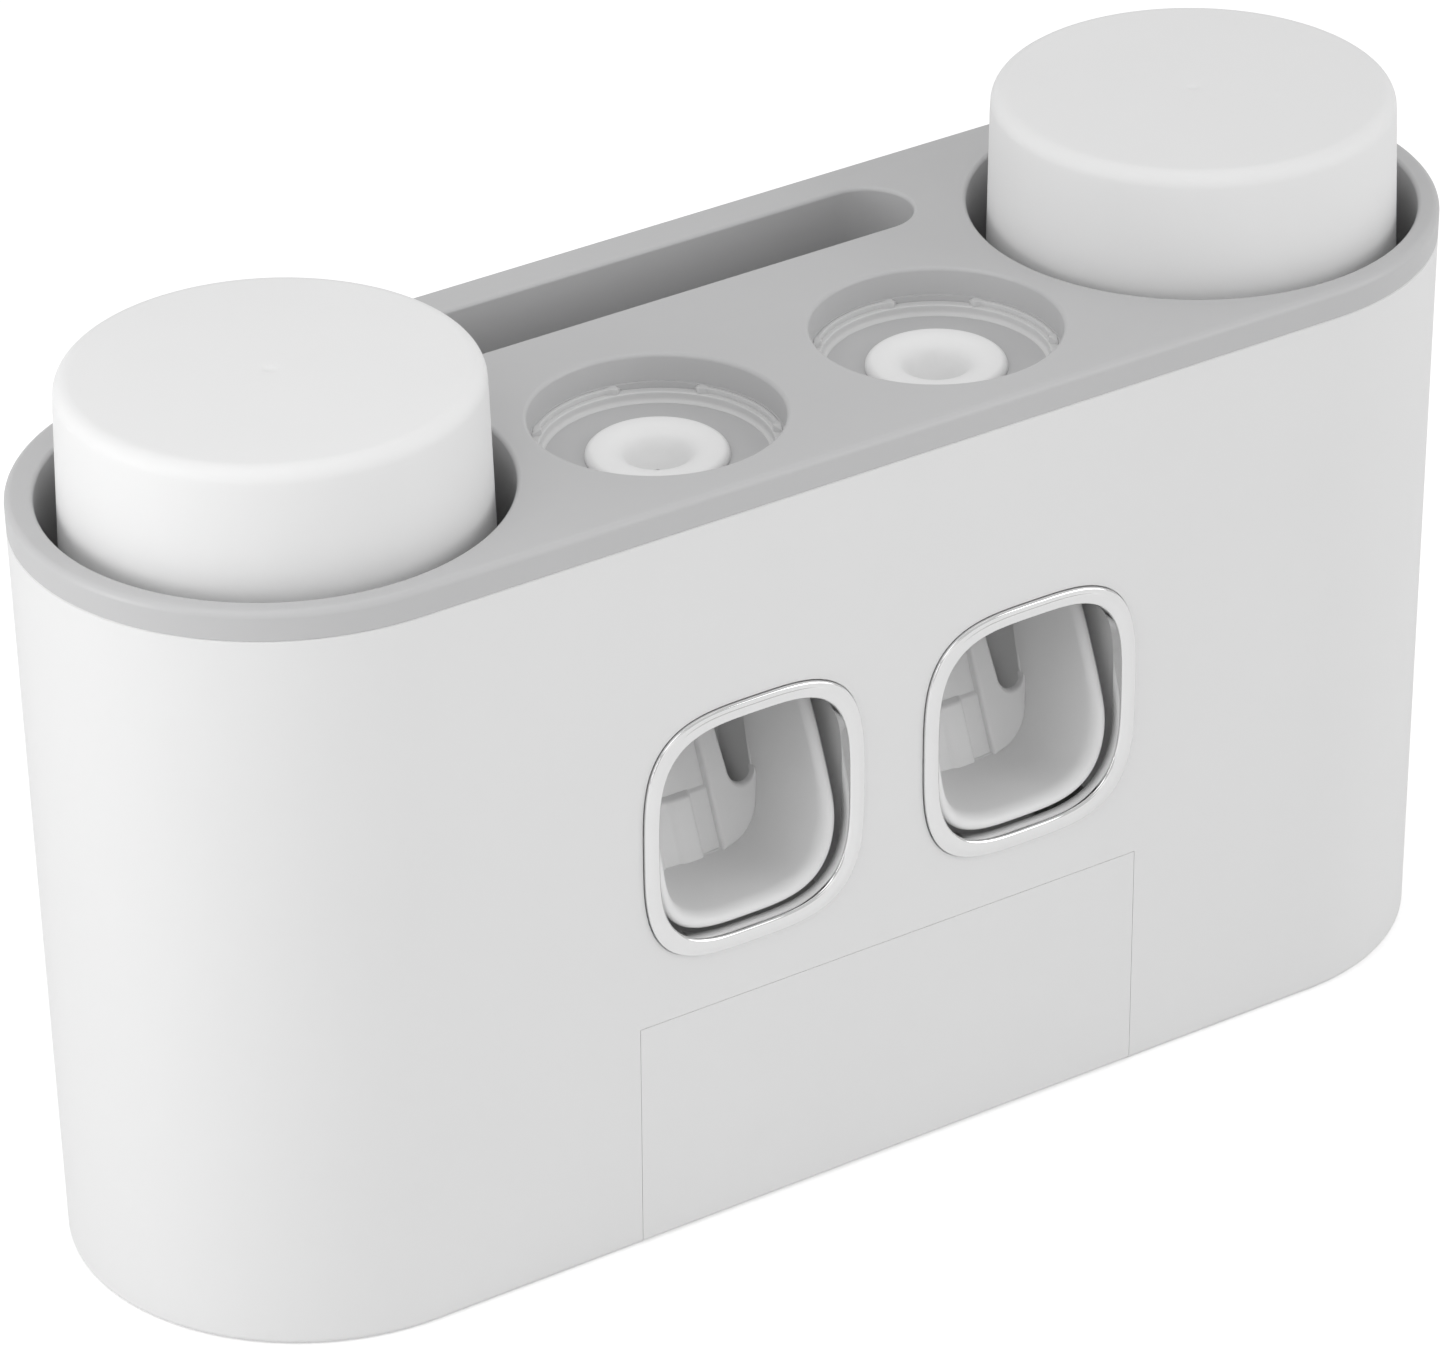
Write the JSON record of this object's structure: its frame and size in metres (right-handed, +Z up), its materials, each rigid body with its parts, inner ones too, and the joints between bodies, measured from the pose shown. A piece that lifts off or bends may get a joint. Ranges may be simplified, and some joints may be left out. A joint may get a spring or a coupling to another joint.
{
  "type": "toothpaste dispenser",
  "caption": "Bathroom toothpaste dispenser with parked rinse cups, push-lever brush windows, tube sockets, a rear slot and a small drawer.",
  "frame": {"origin": "middle of the underside of the body", "axes": "+X along the length, +Y towards the wall, +Z up"},
  "size_m": [0.2882, 0.0942, 0.1723],
  "materials": {
    "shell_white": "glossy moulded plastic",
    "deck_grey": "satin moulded plastic",
    "base_white": "plain moulded plastic",
    "cup_white": "satin moulded plastic",
    "frame_chrome": "bright plated",
    "ring_grey": "satin moulded plastic",
    "seal_white": "soft silicone",
    "pump_white": "plain moulded plastic",
    "valve_soft": "soft silicone",
    "lever_grey": "satin moulded plastic",
    "steel": "drawn wire and rod",
    "ring_rubber": "moulded rubber",
    "drawer_white": "plain moulded plastic",
    "screw_steel": "zinc plated"
  },
  "bodies": {
    "case": {"housing": "shell_white", "deck": "deck_grey", "base_plate": "base_white", "window_frame_left": "frame_chrome", "window_frame_right": "frame_chrome", "tube_ring_left": "ring_grey", "tube_ring_right": "ring_grey", "tube_seal_left": "seal_white", "tube_seal_right": "seal_white", "pump_body_left": "pump_white", "pump_body_right": "pump_white", "inlet_valve_left": "valve_soft", "inlet_valve_right": "valve_soft", "outlet_valve_left": "valve_soft", "outlet_valve_right": "valve_soft", "lever_pin_left": "steel", "lever_pin_right": "steel", "lever_spring_left": "steel", "lever_spring_right": "steel", "drawer_rails": "base_white", "base_screws": "screw_steel", "pump_screws": "screw_steel"},
    "left_cup": {"cup_left": "cup_white"},
    "right_cup": {"cup_right": "cup_white"},
    "left_lever": {"lever_left": "lever_grey"},
    "right_lever": {"lever_right": "lever_grey"},
    "left_piston": {"piston_left": "pump_white", "piston_ring_left": "ring_rubber"},
    "right_piston": {"piston_right": "pump_white", "piston_ring_right": "ring_rubber"},
    "drawer": {"drawer_front": "shell_white", "drawer_tray": "drawer_white"}
  },
  "joints": [
    {"name": "left_cup_lift", "type": "slide", "parent": "case", "child": "left_cup", "axis": [0, 0, 1], "range_m": [0, 0.1]},
    {"name": "left_lever_push", "type": "hinge", "parent": "case", "child": "left_lever", "pos_m": [-0.0298, -0.019, 0.106], "axis": [1, 0, 0], "range_deg": [0, 20], "stiffness_Nm_per_rad": 0.3, "springref_deg": -17.19},
    {"name": "left_piston_slide", "type": "slide", "parent": "case", "child": "left_piston", "axis": [0, 1, 0], "range_m": [0, 0.0057]},
    {"name": "right_cup_lift", "type": "slide", "parent": "case", "child": "right_cup", "axis": [0, 0, 1], "range_m": [0, 0.1]},
    {"name": "right_lever_push", "type": "hinge", "parent": "case", "child": "right_lever", "pos_m": [0.0298, -0.019, 0.106], "axis": [1, 0, 0], "range_deg": [0, 20], "stiffness_Nm_per_rad": 0.3, "springref_deg": -17.19},
    {"name": "right_piston_slide", "type": "slide", "parent": "case", "child": "right_piston", "axis": [0, 1, 0], "range_m": [0, 0.0057]},
    {"name": "drawer_slide", "type": "slide", "parent": "case", "child": "drawer", "axis": [0, -1, 0], "range_m": [0, 0.06]}
  ],
  "couplings": [
    {"joint": "left_piston_slide", "follows": "left_lever_push", "m_per_rad": 0.015704},
    {"joint": "right_piston_slide", "follows": "right_lever_push", "m_per_rad": 0.015704}
  ]
}
